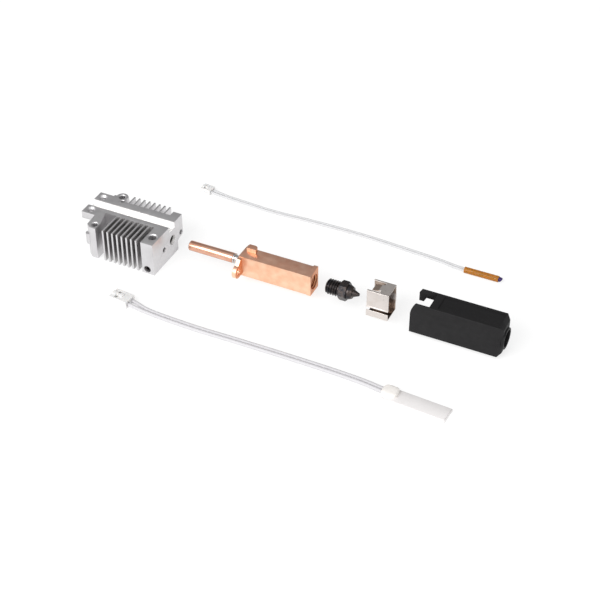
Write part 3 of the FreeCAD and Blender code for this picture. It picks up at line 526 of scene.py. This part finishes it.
# ------------------------------------------------------------------ nozzle
def nozzle_mesh():
    """Nozzle with a helical thread, as rings of points about its axis (mm from its inner end)."""
    around = 96
    thread_r, root_r, pitch, thread_end, run_out, step = 3.0, 2.45, 1.0, 5.1, 0.6, 0.05
    half_turn, flank, crest_width = 0.5, 0.45, 1.15
    hex_half, hex_start, hex_end = 3.35, 5.5, 8.5
    chamfer, chamfer_r, chamfer_rise = 0.35, 3.45, 0.42
    collar_r, collar_end, shoulder_end = 2.80, 9.2, 10.5
    passage_r, passage_end, orifice_r, orifice_start = 1.0, 11.0, 0.2, 12.4
    tip_r, tip = 0.5, 13.0

    def threaded(x, angle):
        phase = (x / pitch - angle / math.tau) % 1.0
        crest = max(0.0, 1.0 - abs(phase - half_turn) / flank)
        fade = min(1.0, x / run_out, (thread_end - x) / run_out)
        return root_r + (thread_r - root_r) * min(1.0, crest_width * crest) * max(0.0, fade)

    def hexagonal(x, angle):
        turn = (angle + math.pi / 6) % (math.pi / 3) - math.pi / 6
        edge = min(x - hex_start, hex_end - x)
        return min(hex_half / math.cos(turn), chamfer_r + chamfer_rise * min(1.0, edge / chamfer))

    rings = [(orifice_start, orifice_r), (passage_end, passage_r), (0.0, passage_r)]
    rings += [(0.0, root_r - 0.15), (0.1, root_r)]
    steps = int(thread_end / step)
    rings += [(thread_end * i / steps, threaded) for i in range(3, steps + 1)]
    rings += [(hex_start, root_r), (hex_start, 2.95)]
    rings += [(hex_start + chamfer * i / 4, hexagonal) for i in range(5)]
    rings += [(hex_end - chamfer * i / 4, hexagonal) for i in range(4, -1, -1)]
    rings += [(hex_end, collar_r), (collar_end, collar_r), (collar_end + 0.1, collar_r - 0.02)]
    rings += [(shoulder_end - 0.05, 2.22), (shoulder_end, 2.15)]
    rings += [(shoulder_end, 1.60), (shoulder_end + 0.05, 1.55)]
    rings += [(tip - 0.1, tip_r + 0.07), (tip, tip_r), (tip, orifice_r)]
    low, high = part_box("nozzle")
    centre = (low + high) / 2
    shape = bmesh.new()
    rows = []
    for x, radius in rings:
        row = []
        for i in range(around):
            angle = math.tau * i / around
            r = radius(x, angle) if callable(radius) else radius
            row.append(shape.verts.new((low.x + x * MM, centre.y + r * MM * math.sin(angle),
                                        centre.z + r * MM * math.cos(angle))))
        rows.append(row)
    for before, after in zip(rows, rows[1:] + rows[:1]):
        for i in range(around):
            j = (i + 1) % around
            shape.faces.new((before[i], before[j], after[j], after[i]))
    bmesh.ops.recalc_face_normals(shape, faces=shape.faces)
    mesh = bpy.data.meshes.new("nozzle")
    shape.to_mesh(mesh)
    shape.free()
    smooth(mesh, SHARP_EDGE)
    return mesh


# ------------------------------------------------------------------ cast and fused pieces
def blob_mesh(node, power, cuts, reshape):
    """A rounded block that fills a node's box, squarer as power grows, then reshaped."""
    low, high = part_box(node)
    centre, half = (low + high) / 2, (high - low) / 2
    shape = bmesh.new()
    bmesh.ops.create_cube(shape, size=2.0)
    bmesh.ops.subdivide_edges(shape, edges=shape.edges, cuts=cuts, use_grid_fill=True)
    for vertex in shape.verts:
        size = sum(abs(c) ** power for c in vertex.co) ** (1 / power)
        point = reshape(vertex.co / size)
        vertex.co = centre + Vector(p * h for p, h in zip(point, half))
        vertex.co.z = max(vertex.co.z, low.z)
    mesh = bpy.data.meshes.new(node)
    shape.to_mesh(mesh)
    shape.free()
    mesh.shade_smooth()
    return mesh


def lumpy(point):
    """A soft, uneven skin with broad swellings and fine lumps."""
    broad = noise.noise(point * 1.3) * 0.05
    fine = noise.noise(point * 4.0) * 0.02
    return point * (0.97 + broad + fine)


def slanted(point):
    """A tip that leans back towards its lower side."""
    lean = 0.32
    return Vector((point.x - lean * max(0.0, point.x) * (1 - point.z), point.y, point.z))


# ------------------------------------------------------------------ the object
ROUNDED = [
    ("heatsink", "heatsink", "anodised_aluminium", blasted_aluminium, 0.12),
    ("grub_screw", "heatsink", "bright_steel", blackened_steel, 0.08),
    ("throat_tube", "block", "copper", drawn_copper, 0.06),
    ("heat_break", "block", "bright_steel", turned_steel, 0.06),
    ("heater_block", "block", "plated_copper", milled_copper, 0.12),
    ("spring_clip", "clip", "spring_steel", spring_steel, 0.10),
    ("silicone_sock", "sock", "silicone", moulded_silicone, 0.22),
    ("heater_plate", "heater", "ceramic", fired_ceramic, 0.08),
    ("heater_cover", "heater", "ceramic", fired_ceramic, 0.06),
    ("heater_connector", "heater", "connector_nylon", natural_nylon, 0.12),
    ("sensor_connector", "sensor", "connector_nylon", natural_nylon, 0.09),
]
PAINTED = [
    (tinned_metal, ("heater_contacts", "sensor_contacts")),
    (brown_joints, ("sensor_splices", "sensor_legs")),
    (fired_print, ("heater_trace", "heater_pins")),
    (amber_film, ("sensor_sleeve",)),
]


def object_pieces():
    """Every piece with its finish."""
    made, pieces = {}, {}
    for node, body, slot, finish, width in ROUNDED:
        if finish not in made:
            made[finish] = finish()
        pieces[node] = rounded(node, body, slot, made[finish], width)
    for finish, nodes in PAINTED:
        material = finish()
        for node in nodes:
            paint_node(node, material)
    add("nozzle_threaded", nozzle_mesh(), "nozzle", "blackened_steel", made[blackened_steel],
        "nozzle")
    add("cement_lump", blob_mesh("heater_cement", 3.2, 31, lumpy), "heater", "cement", cement(),
        "heater_cement")
    add("glass_bead", blob_mesh("sensor_bead", 2.8, 15, slanted), "sensor", "glass_bead",
        bead_glass(), "sensor_bead")
    leads()


# ------------------------------------------------------------------ studio
def floor():
    """A plain pale floor, far larger than the view."""
    mesh = bpy.data.meshes.new("floor")
    side = 3.0
    corners = [(-side, -side, 0), (side, -side, 0), (side, side, 0), (-side, side, 0)]
    mesh.from_pydata(corners, [], [(0, 1, 2, 3)])
    piece = bpy.data.objects.new("floor", mesh)
    bpy.context.scene.collection.objects.link(piece)
    paint = Finish("floor_white", (0.34, 0.34, 0.34), roughness=0.9, specular_ior_level=0.0,
                   emission_color=(1, 1, 1, 1), emission_strength=0.70)
    mesh.materials.append(paint.material)


def softbox(name, place, target, width, height, power):
    """A rectangular light that faces a point."""
    light = bpy.data.lights.new(name, "AREA")
    light.shape = "RECTANGLE"
    light.size, light.size_y, light.energy = width, height, power
    lamp = bpy.data.objects.new(name, light)
    bpy.context.scene.collection.objects.link(lamp)
    lamp.location = place
    lamp.rotation_euler = (Vector(target) - Vector(place)).to_track_quat("-Z", "Y").to_euler()


def world():
    """Studio surroundings: bright in front, dimmer towards the back."""
    studio = bpy.data.worlds.new("studio")
    studio.use_nodes = True
    tree = studio.node_tree
    background = tree.nodes["Background"]
    background.inputs["Color"].default_value = (1, 1, 1, 1)
    way = tree.nodes.new("ShaderNodeTexCoord").outputs["Generated"]
    parts = tree.nodes.new("ShaderNodeSeparateXYZ")
    tree.links.new(way, parts.inputs[0])
    ramp = tree.nodes.new("ShaderNodeMapRange")
    tree.links.new(parts.outputs["Y"], ramp.inputs["Value"])
    for key, value in (("From Min", -0.45), ("From Max", 0.45), ("To Min", 1.05), ("To Max", 0.38)):
        ramp.inputs[key].default_value = value
    tree.links.new(ramp.outputs["Result"], background.inputs["Strength"])
    bpy.context.scene.world = studio


def camera():
    """The view, from the front right and above."""
    way = Vector((math.sin(AZIMUTH) * math.cos(ELEVATION),
                  -math.cos(AZIMUTH) * math.cos(ELEVATION), math.sin(ELEVATION)))
    lens = bpy.data.cameras.new("camera")
    lens.lens = LENS
    lens.clip_start = 0.01
    view = bpy.data.objects.new("camera", lens)
    view.location = AIM + way * CAMERA_RANGE
    view.rotation_euler = (math.pi / 2 - ELEVATION, 0, AZIMUTH)
    bpy.context.scene.collection.objects.link(view)
    bpy.context.scene.camera = view


camera()
object_pieces()
floor()
world()
softbox("key", (-0.35, -0.9, 0.75), (0, 0, 0), 0.9, 0.7, 9.0)
softbox("fill", (0.9, -0.5, 0.6), (0, 0, 0), 0.6, 0.6, 2.0)
bpy.context.scene.view_settings.view_transform = "Standard"
